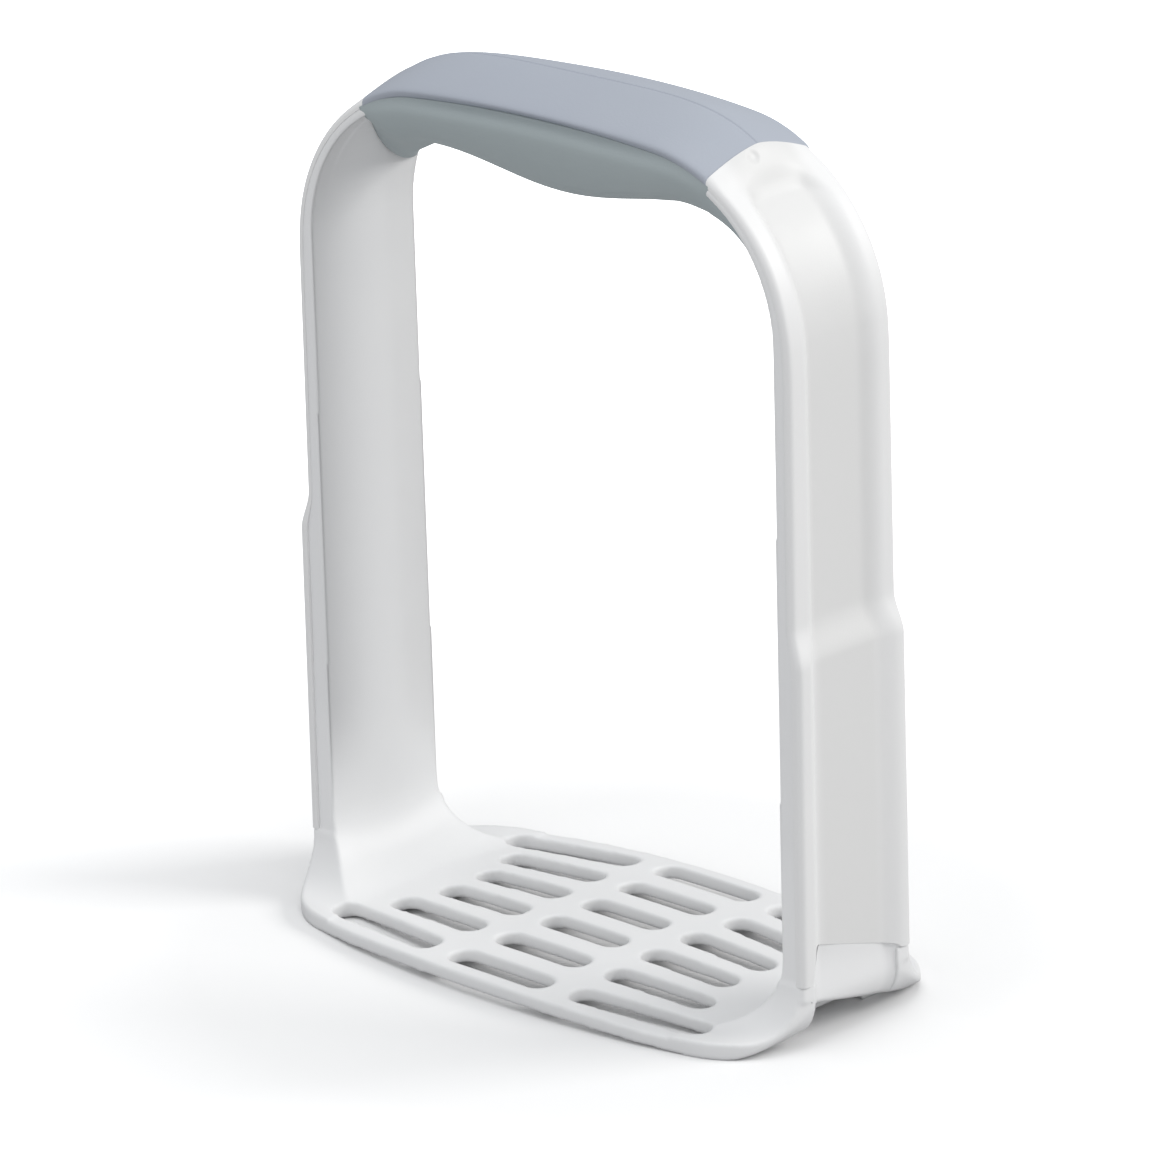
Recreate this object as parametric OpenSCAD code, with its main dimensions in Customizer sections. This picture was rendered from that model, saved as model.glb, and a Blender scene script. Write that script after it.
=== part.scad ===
// Potato masher with a closed U-shaped handle: a domed plate with eighteen slots,
// two upright legs, an outer handle cover and a soft two-part grip across the top.
// X runs along the grip, Y is front to back, +Z is up, the table is at Z = 0.

/* [Overall] */
// Width over the lower end of the handle cover
overall_width = 130.2; // [126:0.2:138]
// Height of the grip's crown above the table
overall_height = 173; // [168:0.5:185]
// Depth of the mashing plate, front to back
plate_depth = 69.6; // [69:0.2:76]

/* [Mashing plate] */
// Height of the plate's top in its middle
plate_top_height = 5; // [4.8:0.1:6]
// Thickness of the plate
plate_thickness = 2.7; // [2.3:0.1:3]
// Radius of the dome that the plate is curved to
dome_radius = 700; // [660:10:800]
// Radius of the plate's long front and back edges
plan_radius = 265; // [250:5:300]
// Radius of the plate's four corners
plan_corner_radius = 20; // [18:0.5:21]
// Length over which the plate's long edges turn in towards its corners
turn_in_length = 26.7; // [24:0.1:31]
// How much narrower the plate is at its corners than where it starts to turn in
turn_in_drop = 1.9; // [1.7:0.1:2.6]
// Width of every slot
slot_width = 6.2; // [5.4:0.1:6.4]
// Width of the rim in front of the front slots and behind the back ones
slot_rim = 3.2; // [2.8:0.1:4.2]
// Half length of the middle slots in the two inner rows
middle_reach_inner = 10.5; // [9:0.1:11]
// Half length of the middle slots in the next two rows
middle_reach_next = 11.5; // [10:0.1:12]
// Half length of the middle slots in the front and back rows
middle_reach_edge = 12.8; // [11:0.1:13.5]
// Metal left between a middle slot and its neighbour in the row
column_web = 5.2; // [4.4:0.1:6]
// From the plate's end to the side slots in the two inner rows
side_inset_inner = 26.2; // [25:0.1:29]
// From the plate's end to the side slots in the next two rows
side_inset_next = 22.9; // [22:0.1:25]
// From the plate's end to the side slots in the front and back rows
side_inset_edge = 15.7; // [15.2:0.1:18]
// Length over which the rows bow in towards the plate's ends
row_bow_length = 115; // [110:1:140]

/* [Legs] */
// Wall of a leg with its cover, below the shoulder
leg_wall = 5.9; // [5.6:0.1:6.6]
// Width of the legs where they run into the plate
leg_width_low = 29.4; // [29:0.1:30]
// Width of the legs under the grip
leg_width_high = 27.8; // [27.4:0.1:28.2]
// How far each edge of the cover stands out sideways below the shoulder
cover_lip = 0.4; // [0.2:0.05:0.5]
// Height of the shoulder's lower edge
shoulder_height = 74.5; // [60:0.5:90]
// Length of the shoulder's slope
shoulder_length = 8; // [6:0.5:12]
// How far the leg's outer face steps in at the shoulder
shoulder_step = 1.9; // [1.5:0.1:2.1]
// Radius where a leg turns into the plate, outside
foot_outer_radius = 10.2; // [9.8:0.1:10.8]
// Radius where a leg turns into the plate, inside
foot_inner_radius = 14; // [12:0.2:16]
// Radius of the hollow corner where a leg's edge spreads into the plate
flare_radius = 9.6; // [9:0.1:10]
// Rise of the arch under the middle of each foot
foot_arch_rise = 4.8; // [3.8:0.1:5]
// Half width of that arch
foot_arch_half_width = 20.5; // [18:0.5:21]

/* [Handle arch] */
// How much higher the bar's middle lies than the tops of the arch's corners
crown_rise = 1.25; // [1:0.05:1.6]
// Radius of the gentle first part of the arch
arch_first_radius = 107; // [95:1:120]
// Angle over which the gentle first part runs
arch_first_angle = 3.8; // [3.2:0.1:4.2]
// Radius of the arch's corner
arch_corner_radius = 35.3; // [34:0.1:37]
// How much smaller the corner's radius is on the hand's side
corner_wall = 5.6; // [4.8:0.1:6.2]
// Thickness of the handle's bar under the grip, frame and cover together
bar_thickness = 4.9; // [4.6:0.1:5.6]

/* [Handle cover] */
// Thickness of the cover's edge below the shoulder
cover_edge_low = 1.9; // [1.7:0.1:2.2]
// Thickness of the cover's edge above the shoulder
cover_edge_high = 1.3; // [1.1:0.1:1.5]
// Depth of the long recess in the cover's outer face
recess_depth = 1.4; // [1:0.1:1.5]
// Wall of the cover behind the recess
recess_wall = 1.2; // [1:0.1:1.3]
// Width of the recess below the shoulder
recess_width_low = 22.4; // [20:0.2:23]
// Width of the recess above the shoulder
recess_width_high = 18.4; // [16:0.2:19]
// Gap between the grip's end and the start of the recess
recess_gap = 2.2; // [1.7:0.1:3.7]
// Height of the cover's lower end at its edges
cover_end_height = 12.9; // [12.8:0.1:16]
// Rise of the cover's lower end in the middle
cover_end_rise = 3.6; // [2:0.1:5]
// How far the cover stands proud of the foot below it
cover_proud = 0.4; // [0.2:0.1:0.6]

/* [Grip] */
// From the handle's side to the end of the upper grip pad
pad_inset = 21.3; // [20.5:0.1:23]
// Width of the grip in its middle
grip_width = 32; // [31.6:0.2:35]
// Width of the grip at its ends
grip_end_width = 28.4; // [28.4:0.1:29.4]
// How far the upper pad's ridge drops towards its ends
ridge_fall = 5.8; // [5:0.1:6]
// Height of the upper pad's ridge over its lower edges, in the middle
ridge_height = 5.5; // [5.2:0.1:5.8]
// Length of the collar that carries the pad's shape on into the cover
collar_length = 2.6; // [2.2:0.1:3.2]
// Depth of the lower grip pad below the hand corner's top, in the middle
belly_middle_depth = 12.6; // [11.5:0.1:13.5]
// The same depth at the ends of the straight part
belly_end_depth = 8.8; // [8:0.1:9.5]
// How far the belly is swung to the right at the front and to the left at the back
belly_shift = 8; // [5:0.5:9]
// Angle round the hand corner at which the lower pad's slanted end is longest
belly_long_angle = 70; // [62:1:72]
// How far the bar cores inside the grip reach past the bar's straight part
core_reach = 4.5; // [1:0.5:5.5]
// Width of the bar cores inside the grip
core_width = 18; // [14:0.5:19]
// How far the frame's core reaches below its bar
core_drop = 5.6; // [4:0.1:6]
// Width of the cover's bed under the upper pad
bed_width = 22; // [21:0.2:23]
// How far the cover's core stands up into the upper pad
core_rise = 1; // [0.8:0.1:1.2]
// Gap between two pieces that lie on each other
seat_clearance = 0.1; // [0.05:0.05:0.2]

/* [Hidden] */
$fn = 96;
dome_facets = 360;
half_width = overall_width / 2;
half_depth = plate_depth / 2;
upper_half_width = half_width - shoulder_step;
inner_face = half_width - leg_wall;
shoulder_steps = 10;
ridge_steps = 8;
above_all = overall_height + 20;
below_all = 20;
far_out = 100;

// The arch: side arc, corner arc and top arc follow each other without a kink
side_arc_x = upper_half_width - arch_first_radius;
corner_x = side_arc_x + (arch_first_radius - arch_corner_radius) * cos(arch_first_angle);
arch_top = overall_height - ridge_height + cover_edge_high;
corner_drop = arch_corner_radius + crown_rise;
corner_z = arch_top - corner_drop;
arch_start = corner_z - (arch_first_radius - arch_corner_radius) * sin(arch_first_angle);
top_radius = (corner_x * corner_x + corner_drop * corner_drop - arch_corner_radius * arch_corner_radius)
    / (2 * (corner_drop - arch_corner_radius));
top_centre_z = arch_top - top_radius;
corner_reach = top_radius - arch_corner_radius;
top_arc_half_length = top_radius * corner_x / corner_reach;

// The hand opening's corner
hand_corner_radius = arch_corner_radius - corner_wall;
hand_corner_x = inner_face - hand_corner_radius;
hand_top = arch_top - bar_thickness;
hand_corner_height = hand_top - hand_corner_radius;
pad_half_length = half_width - pad_inset;
recess_start = pad_half_length + recess_gap;
core_half_length = hand_corner_x + core_reach;
belly_swell_reach = 4;
belly_swell_length = hand_corner_x + belly_swell_reach;
// The lower pad's slanted end is shortest where the upper pad ends
belly_short_angle = asin((pad_half_length - hand_corner_x) / hand_corner_radius);

// Where the foot's curve lies
foot_sink = 0.1;
foot_centre_x = half_width - foot_outer_radius;
base_foot_radius = foot_outer_radius - cover_proud;
base_foot_z = base_foot_radius - foot_sink;
plate_half_length = half_width - cover_proud;
foot_inner_x = inner_face - foot_inner_radius;
foot_arch_inset = 10.5;
foot_curve_sink = 0.25;
core_root = 0.2;
slab_depth = leg_width_low + 2 * cover_lip + 2;
flare_start = cover_end_height - seat_clearance;
slot_pitch = (plate_depth - 2 * slot_rim - slot_width) / 5;
turn_in_start = plate_half_length - turn_in_length;
turn_in_half_depth = half_depth - turn_in_start * turn_in_start / (2 * plan_radius);
foot_arch_start = foot_inner_x + foot_arch_inset;
foot_inner_z = plate_top_height - foot_inner_x * foot_inner_x / (2 * dome_radius)
    - foot_curve_sink + foot_inner_radius;

// A soft step from 1 to 0 along the shoulder
function shoulder_share(z) =
    z <= shoulder_height ? 1
    : z >= shoulder_height + shoulder_length ? 0
    : (1 + cos(180 * (z - shoulder_height) / shoulder_length)) / 2;

// Points of a line that follows the shoulder from a low to a high distance
function shoulder_line(low, high) = [
    for (i = [0:shoulder_steps])
        let (z = shoulder_height + shoulder_length * i / shoulder_steps)
        [high + (low - high) * shoulder_share(z), z]
];

// Height of the arch's outline above a place on the grip
function arch_z(x, inset) =
    abs(x) <= top_arc_half_length
    ? top_centre_z + sqrt(pow(top_radius - inset, 2) - x * x)
    : corner_z + sqrt(pow(arch_corner_radius - inset, 2) - pow(abs(x) - corner_x, 2));

function mirrored(points) = concat(
    points,
    [for (i = [len(points) - 1:-1:0]) [-points[i][0], points[i][1]]]
);

// Everything inside the handle's outline, drawn in X and Z
module handle_outline(low_inset, high_inset) {
    polygon(mirrored(concat(
        [[half_width - low_inset, -below_all]],
        shoulder_line(half_width - low_inset, upper_half_width - high_inset),
        [[upper_half_width - high_inset, arch_start]]
    )));
    for (left = [0, 1]) {
        mirror([left, 0]) {
            intersection() {
                translate([side_arc_x, arch_start])
                    circle(arch_first_radius - high_inset, $fn = 360);
                polygon([
                    [0, arch_start - 1],
                    [far_out, arch_start - 1],
                    [far_out, arch_start],
                    [corner_x + far_out, corner_z + far_out * tan(arch_first_angle)],
                    [corner_x, corner_z],
                    [0, corner_z]
                ]);
            }
            translate([corner_x, corner_z])
                circle(arch_corner_radius - high_inset, $fn = 180);
        }
    }
    intersection() {
        translate([0, top_centre_z])
            circle(top_radius - high_inset, $fn = 720);
        polygon([
            [-corner_x, arch_start],
            [corner_x, arch_start],
            [corner_x, corner_z],
            [corner_x + far_out * corner_x, corner_z + far_out * (corner_z - top_centre_z)],
            [-corner_x - far_out * corner_x, corner_z + far_out * (corner_z - top_centre_z)],
            [-corner_x, corner_z]
        ]);
    }
}

// The opening for the hand and the food, drawn in X and Z, without the grip's core
module hand_outline(grown) {
    corner = hand_corner_radius + grown;
    foot = foot_inner_radius + grown;
    translate([-inner_face - grown, foot_inner_z])
        square([2 * (inner_face + grown), hand_corner_height - foot_inner_z]);
    translate([-hand_corner_x, hand_corner_height - 1])
        square([2 * hand_corner_x, 1 + corner]);
    translate([-foot_inner_x, -below_all])
        square([2 * foot_inner_x, below_all + foot_inner_z + 1]);
    for (side = [-1, 1]) {
        translate([side * hand_corner_x, hand_corner_height])
            circle(corner, $fn = 180);
        translate([side * foot_inner_x, foot_inner_z])
            circle(foot);
    }
}

// Half width of a leg at a height. It narrows evenly from the plate to the arch.
function leg_half_width(z) =
    (leg_width_low + (leg_width_high - leg_width_low) * max(0, min(1, z / arch_start))) / 2;

// Front view of a leg, drawn in Y and Z, with a lip below the shoulder
module leg_front(lip) {
    polygon(mirrored(concat(
        [[leg_half_width(0) + lip, -below_all], [leg_half_width(0) + lip, 0]],
        [
            for (point = shoulder_line(lip, 0))
                [leg_half_width(point[1]) + point[0], point[1]]
        ],
        [[leg_width_high / 2, arch_start], [leg_width_high / 2, above_all]]
    )));
}

// Front view of the recess in the cover, drawn in Y and Z
module recess_front(grown) {
    polygon(mirrored(concat(
        [[recess_width_low / 2 + grown, -below_all]],
        shoulder_line(recess_width_low / 2 + grown, recess_width_high / 2 + grown),
        [[recess_width_high / 2 + grown, above_all]]
    )));
}

// Turns a drawing in X and Z into a slab of a given depth
module along_y(depth) {
    rotate([90, 0, 0])
        translate([0, 0, -depth / 2])
            linear_extrude(depth)
                children();
}

// Turns a drawing in Y and Z into a bar across the whole object
module along_x() {
    rotate([90, 0, 90])
        translate([0, 0, -far_out])
            linear_extrude(2 * far_out)
                children();
}

// Keeps what lies inside the legs' front view
module within_leg_edges(lip) {
    intersection() {
        children();
        along_x()
            leg_front(lip);
    }
}

// Plan view of the mashing plate
module plate_plan() {
    corner_centre_x = plate_half_length - plan_corner_radius;
    corner_centre_y = turn_in_half_depth - plan_corner_radius - turn_in_drop;
    reach = [corner_centre_x - turn_in_start, corner_centre_y - turn_in_half_depth];
    // Angle at which the straight turn-in meets the corner's circle
    meet = acos(plan_corner_radius / norm(reach)) - atan2(reach[0], -reach[1]);
    intersection() {
        translate([0, half_depth - plan_radius])
            circle(plan_radius, $fn = dome_facets);
        translate([0, plan_radius - half_depth])
            circle(plan_radius, $fn = dome_facets);
        union() {
            polygon(mirrored([
                [turn_in_start - 1, -half_depth],
                [turn_in_start, -turn_in_half_depth],
                [
                    corner_centre_x + plan_corner_radius * sin(meet),
                    -corner_centre_y - plan_corner_radius * cos(meet)
                ],
                [corner_centre_x, -corner_centre_y],
                [plate_half_length, -corner_centre_y],
                [plate_half_length, corner_centre_y],
                [corner_centre_x, corner_centre_y],
                [
                    corner_centre_x + plan_corner_radius * sin(meet),
                    corner_centre_y + plan_corner_radius * cos(meet)
                ],
                [turn_in_start, turn_in_half_depth],
                [turn_in_start - 1, half_depth]
            ]));
            for (side = [-1, 1], face = [-1, 1]) {
                translate([side * corner_centre_x, face * corner_centre_y])
                    circle(plan_corner_radius, $fn = 180);
            }
        }
    }
}

// A ball that is part of the dome, with its top at a given height
module dome_ball(top, radius) {
    translate([0, 0, top - radius])
        rotate([90, 0, 0])
            sphere(radius, $fn = dome_facets);
}

// How far one row of slots has bowed in at a distance from the middle
function row_y(row, x) = row * (1 - pow(x / row_bow_length, 2));

// A cutter for one slot with round ends between two points of its middle line
module slot_cutter(from, to) {
    run = to - from;
    cut_height = foot_inner_z / 2;
    translate([from[0], from[1], -cut_height])
        rotate(atan2(run[1], run[0])) {
            translate([0, -slot_width / 2, 0])
                cube([norm(run), slot_width, 2 * cut_height]);
            for (end = [0, norm(run)]) {
                translate([end, 0, 0])
                    cylinder(d = slot_width, h = 2 * cut_height);
            }
        }
}

// Cutters for the eighteen slots
module slot_pattern() {
    rows = [
        [slot_pitch / 2, middle_reach_inner, plate_half_length - side_inset_inner],
        [slot_pitch * 3 / 2, middle_reach_next, plate_half_length - side_inset_next],
        [slot_pitch * 5 / 2, middle_reach_edge, plate_half_length - side_inset_edge]
    ];
    round_end = slot_width / 2;
    for (row = rows, face = [-1, 1]) {
        y = face * row[0];
        middle_end = row[1] - round_end;
        slot_cutter([-middle_end, y], [middle_end, y]);
        near_end = row[1] + column_web + round_end;
        far_end = row[2] - round_end;
        for (side = [-1, 1]) {
            slot_cutter(
                [side * near_end, row_y(y, near_end)],
                [side * far_end, row_y(y, far_end)]
            );
        }
    }
}

// Front view of a foot, drawn in Y and Z: the leg's edges spread into the plate in hollow corners
module foot_front() {
    leg_edge = leg_half_width(0) + cover_lip;
    difference() {
        translate([-half_depth, -below_all])
            square([plate_depth, below_all + flare_start]);
        for (side = [-1, 1]) {
            hollow_y = leg_edge + flare_radius;
            translate([side * hollow_y, flare_start])
                circle(flare_radius);
            translate([side > 0 ? hollow_y : -hollow_y - far_out, flare_start - flare_radius])
                square([far_out, 2 * flare_radius]);
        }
    }
}

// A solid through rings of points that all have the same number of points
module loft(rings) {
    count = len(rings[0]);
    last = len(rings) - 1;
    // An end is closed with triangles from side to side, as its edge may be slanted
    cap = [
        for (j = [0:(count - 2) / 2])
            each [
                [j, j + 1, count - 1 - j],
                if (j + 1 < count - 2 - j) [j + 1, count - 2 - j, count - 1 - j]
            ]
    ];
    polyhedron(
        points = [for (ring = rings, point = ring) point],
        faces = concat(
            cap,
            [
                for (face = cap)
                    [for (j = [2:-1:0]) last * count + face[j]]
            ],
            [
                for (i = [0:last - 1], j = [0:count - 1])
                    let (k = (j + 1) % count)
                    [i * count + j, (i + 1) * count + j, i * count + k]
            ],
            [
                for (i = [0:last - 1], j = [0:count - 1])
                    let (k = (j + 1) % count)
                    [i * count + k, (i + 1) * count + j, (i + 1) * count + k]
            ]
        ),
        convexity = 4
    );
}

// Lower end of the handle cover: straight at the edges, arched in the middle
module cover_end_shape(gap) {
    half_chord = recess_width_low / 2;
    radius = (half_chord * half_chord + cover_end_rise * cover_end_rise) / (2 * cover_end_rise);
    along_x() {
        translate([-far_out, -below_all - gap])
            square([2 * far_out, below_all + cover_end_height]);
        intersection() {
            translate([0, cover_end_height + cover_end_rise - radius - gap])
                circle(radius);
            translate([-half_chord, cover_end_height - 1])
                square([2 * half_chord, cover_end_rise + 1]);
        }
    }
}

// The long recess that runs down the cover's outer face
module recess_cutter(depth) {
    intersection() {
        along_y(slab_depth)
            difference() {
                square(4 * far_out, center = true);
                handle_outline(depth, depth);
            }
        along_x()
            recess_front(0);
        recess_plan();
    }
}

// Plan of the recess: it starts beside the grip with rounded corners
module recess_plan() {
    rounding = 4;
    half = recess_width_low / 2;
    for (left = [0, 1]) {
        mirror([left, 0, 0])
            linear_extrude(above_all) {
                translate([recess_start + rounding, -half])
                    square([far_out, 2 * half]);
                translate([recess_start, rounding - recess_width_high / 2])
                    square([far_out, recess_width_high - 2 * rounding]);
                for (face = [-1, 1]) {
                    translate([recess_start + rounding, face * (recess_width_high / 2 - rounding)])
                        circle(rounding);
                }
            }
    }
}

// Core that hangs down from the frame's bar inside the lower pad
module frame_core(gap) {
    translate([-core_half_length - gap, -core_width / 2 - gap, hand_top - core_drop - gap])
        cube([2 * (core_half_length + gap), core_width + 2 * gap, core_drop + core_root + gap]);
}

// Core that stands up from the cover's bar inside the upper pad
module cover_core(gap) {
    along_y(core_width + 2 * gap)
        intersection() {
            difference() {
                handle_outline(-core_rise - gap, -core_rise - gap);
                handle_outline(cover_edge_high / 2, cover_edge_high / 2);
            }
            translate([-core_half_length - gap, hand_top])
                square([2 * (core_half_length + gap), above_all - hand_top]);
        }
}

module masher_frame() {
    color([0.93, 0.94, 0.95]) {
        difference() {
            union() {
                frame_legs();
                frame_feet();
                frame_core(0);
            }
            slot_pattern();
            recess_foot();
            translate([-far_out, -far_out, -below_all])
                cube([2 * far_out, 2 * far_out, below_all]);
        }
    }
}

// The two legs and the bar that joins them under the grip
module frame_legs() {
    behind_recess = recess_depth + recess_wall + seat_clearance;
    within_leg_edges(0) {
        difference() {
            union() {
                along_y(slab_depth)
                    difference() {
                        handle_outline(cover_edge_low + seat_clearance, cover_edge_high + seat_clearance);
                        hand_outline(0);
                        translate([-far_out, -below_all])
                            square([2 * far_out, below_all + base_foot_z]);
                    }
                intersection() {
                    along_y(slab_depth)
                        difference() {
                            handle_outline(cover_proud, cover_proud);
                            hand_outline(0);
                            translate([-far_out, -below_all])
                                square([2 * far_out, below_all + base_foot_z]);
                        }
                    cover_end_shape(seat_clearance);
                }
            }
            intersection() {
                along_y(slab_depth)
                    difference() {
                        square(4 * far_out, center = true);
                        handle_outline(behind_recess, behind_recess);
                    }
                along_x()
                    recess_front(recess_wall);
                above_cover_end();
            }
        }
    }
}

// Keeps what lies above the lower end of the cover
module above_cover_end() {
    difference() {
        translate([-far_out, -far_out, 0])
            cube([2 * far_out, 2 * far_out, above_all]);
        cover_end_shape(seat_clearance);
    }
}

// The plate with the curved feet that run up into the legs
module frame_feet() {
    intersection() {
        difference() {
            union() {
                intersection() {
                    dome_ball(plate_top_height, dome_radius);
                    translate([-foot_centre_x, -half_depth, -below_all])
                        cube([2 * foot_centre_x, plate_depth, 2 * below_all]);
                }
                intersection() {
                    along_y(plate_depth)
                        foot_outline();
                    along_x()
                        foot_front();
                }
            }
            dome_ball(plate_top_height - plate_thickness, dome_radius - plate_thickness);
        }
        translate([0, 0, -below_all])
            linear_extrude(2 * below_all)
                plate_plan();
    }
}

// Where the legs turn into the plate, drawn in X and Z
module foot_outline() {
    difference() {
        union() {
            for (side = [-1, 1]) {
                translate([side * foot_centre_x, base_foot_z])
                    circle(base_foot_radius);
            }
            translate([-foot_centre_x, base_foot_z - base_foot_radius])
                square([2 * foot_centre_x, base_foot_radius + 1]);
            translate([-plate_half_length, base_foot_z])
                square([2 * plate_half_length, flare_start]);
        }
        hand_outline(0);
    }
}

// The recess runs on below the cover and round the foot, which is arched underneath
module recess_foot() {
    arch_radius = (foot_arch_half_width * foot_arch_half_width + foot_arch_rise * foot_arch_rise)
        / (2 * foot_arch_rise);
    shell_radius = plate_half_length - recess_depth - foot_inner_x;
    for (left = [0, 1]) {
        mirror([left, 0, 0]) {
            along_y(recess_width_low)
                difference() {
                    translate([foot_inner_x, -1])
                        square([far_out, 1 + foot_inner_z + below_all]);
                    translate([foot_inner_x, foot_inner_z])
                        circle(shell_radius);
                    translate([0, foot_inner_z])
                        square([foot_inner_x + shell_radius, 2 * below_all]);
                }
            translate([foot_arch_start, 0, foot_arch_rise - arch_radius])
                rotate([0, 90, 0])
                    cylinder(r = arch_radius, h = far_out);
        }
    }
}

module handle_cover() {
    color([0.95, 0.95, 0.96]) {
        difference() {
            union() {
                within_leg_edges(cover_lip) {
                    along_y(slab_depth)
                        difference() {
                            handle_outline(0, 0);
                            handle_outline(cover_edge_low, cover_edge_high);
                        }
                    grip_collar();
                }
                cover_back_rib();
                cover_core(0);
            }
            recess_cutter(recess_depth);
            cover_end_shape(0);
            grip_rebates();
        }
    }
}

// Under the upper pad the cover's edges are taken away, so that only its bed is left
module grip_rebates() {
    length = pad_half_length + seat_clearance;
    for (back = [0, 1]) {
        mirror([0, back, 0])
            translate([-length, bed_width / 2, hand_corner_height])
                cube([2 * length, bed_width, above_all - hand_corner_height]);
    }
}

// Beside the grip the cover rises to the upper pad's shape and falls away again
module grip_collar() {
    start = pad_half_length + seat_clearance;
    end = start + collar_length;
    intersection() {
        along_x()
            polygon(roof_section(pad_half_length, ridge_steps / 2));
        for (left = [0, 1]) {
            mirror([left, 0, 0])
                along_y(slab_depth)
                    polygon([
                        [start, arch_z(start, cover_edge_high / 2)],
                        [start, ridge_z(pad_half_length)],
                        [end, arch_z(end, cover_edge_high / 4)],
                        [end, arch_z(end, cover_edge_high / 2)]
                    ]);
        }
    }
}

// The rib behind the recess, which sits in the frame's groove
module cover_back_rib() {
    behind = recess_depth + recess_wall;
    intersection() {
        along_y(slab_depth)
            difference() {
                handle_outline(0, 0);
                handle_outline(behind, behind);
            }
        along_x()
            recess_front(recess_wall - seat_clearance);
    }
}

// Shapes of the grip's curves: powers above 1 stay flat for longer, below 1 they fill out
grip_swell_power = 0.8;
ridge_power = 4.7;
roof_power = 1.3;
belly_power = 0.8;
belly_slant_power = 1.3;
belly_taper_power = 5;
belly_slant_fullness = 0.35;
// Share of the belly's depth that is lost towards its slanted ends
belly_taper = 0.85;
// How far the lower pad's tongue starts inside the leg, and how far in from the leg's edges it ends
tongue_root = 0.4;
tongue_inset = 0.3;
// Upright edge of the upper pad in the middle, and how much it grows towards the ends
roof_edge = 0.3;
roof_edge_growth = 0.7;

// Half width of the grip at a place along it
function grip_half_width(x) =
    let (swell = pow(cos(90 * abs(x) / pad_half_length), grip_swell_power))
    grip_end_width / 2 + (grip_width - grip_end_width) / 2 * swell;

// Half an oval: one point of a grip section, from one seam edge round to the other
function oval(half_width, depth, turn, squareness) = [
    half_width * (cos(turn) < 0 ? -1 : 1) * pow(abs(cos(turn)), squareness),
    depth * pow(sin(turn), squareness)
];

// Height of the upper pad's ridge at a place along the grip
function ridge_z(x) = overall_height - ridge_fall * pow(abs(x) / pad_half_length, ridge_power);

// Section of the upper pad: short upright edges under a softly curved roof
function roof_section(x, steps) =
    let (
        half = grip_half_width(x),
        seam = arch_z(x, cover_edge_high) + seat_clearance,
        eaves = seam + roof_edge + roof_edge_growth * pow(x / pad_half_length, 2),
        slopes = [
            for (i = [-steps:steps])
                let (share = sin(90 * i / steps))
                [half * share, eaves + (ridge_z(x) - eaves) * (1 - pow(abs(share), roof_power))]
        ]
    )
    concat([[-half, seam]], slopes, [[half, seam]]);

module grip_upper_pad() {
    stations = 32;
    rings = [
        for (i = [0:stations])
            let (x = pad_half_length * sin(90 - 180 * i / stations))
            [
                for (point = roof_section(x, ridge_steps))
                    [x, point[0], point[1]]
            ]
    ];
    color([0.68, 0.7, 0.75]) {
        difference() {
            loft(rings);
            along_y(bed_width + 2 * seat_clearance)
                handle_outline(-seat_clearance, -seat_clearance);
            cover_core(seat_clearance);
        }
    }
}

// How much deeper the lower pad is than at its ends
function belly_swell(x, across) =
    let (share = min(1, abs(x + belly_shift * across) / belly_swell_length))
    (belly_middle_depth - belly_end_depth) * pow(cos(90 * share), 2);

// One point of the lower pad over the straight part of the hand opening's top
function belly_point(x, turn) =
    let (
        depth = belly_end_depth + belly_swell(x, cos(turn)),
        over = arch_z(x, cover_edge_high) - hand_top,
        at = oval(grip_half_width(x), depth + over, turn, belly_power)
    )
    [x, at[0], hand_top + over - at[1]];

// One point of the lower pad in the hand corner on one side. The ends are slanted,
// so that the pad looks the same again after half a turn.
function belly_corner_point(side, share, turn) =
    let (
        fullness = belly_slant_fullness * share * max(0, -side * cos(turn)),
        across = oval(1, 1, turn, belly_power + fullness),
        slant = pow(sin(45 * (1 - side * across[0])), belly_slant_power),
        angle = share * (belly_short_angle + (belly_long_angle - belly_short_angle) * slant),
        x = hand_corner_x + hand_corner_radius * sin(angle),
        z = hand_corner_height + hand_corner_radius * cos(angle),
        beside_pad = x < pad_half_length,
        over = beside_pad ? arch_z(x, cover_edge_high) - z : tongue_root,
        half = beside_pad ? grip_half_width(x) : leg_width_high / 2 - tongue_inset,
        swell = belly_swell(side * x, cos(turn)),
        taper = 1 - belly_taper * pow(share, belly_taper_power),
        depth = belly_end_depth * taper + swell * (1 - share),
        inward = (depth + over) * across[1] - over
    )
    [side * (x - inward * sin(angle)), half * across[0], z - inward * cos(angle)];

module grip_lower_pad() {
    flat_stations = 14;
    corner_stations = 16;
    section_steps = 14;
    turns = [for (j = [0:section_steps]) 180 * j / section_steps];
    rings = concat(
        [
            for (i = [corner_stations:-1:1])
                [for (turn = turns) belly_corner_point(1, i / corner_stations, turn)]
        ],
        [
            for (i = [0:flat_stations])
                [for (turn = turns) belly_point(hand_corner_x * (1 - 2 * i / flat_stations), turn)]
        ],
        [
            for (i = [1:corner_stations])
                [for (turn = turns) belly_corner_point(-1, i / corner_stations, turn)]
        ]
    );
    color([0.62, 0.66, 0.68]) {
        difference() {
            loft(rings);
            along_y(leg_width_high + 2 * seat_clearance)
                difference() {
                    handle_outline(-seat_clearance, -seat_clearance);
                    hand_outline(-seat_clearance);
                }
            frame_core(seat_clearance);
        }
    }
}

masher_frame();
handle_cover();
grip_upper_pad();
grip_lower_pad();
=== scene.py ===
"""Looks for the potato masher: camera, light, floor, materials and fine surfaces.

X runs across the masher, Y from its front to its back and Z up from the floor.
The masher's shapes are worked out in millimetres and drawn in metres.
"""
import math

import bpy
from mathutils import Matrix, Vector


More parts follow.
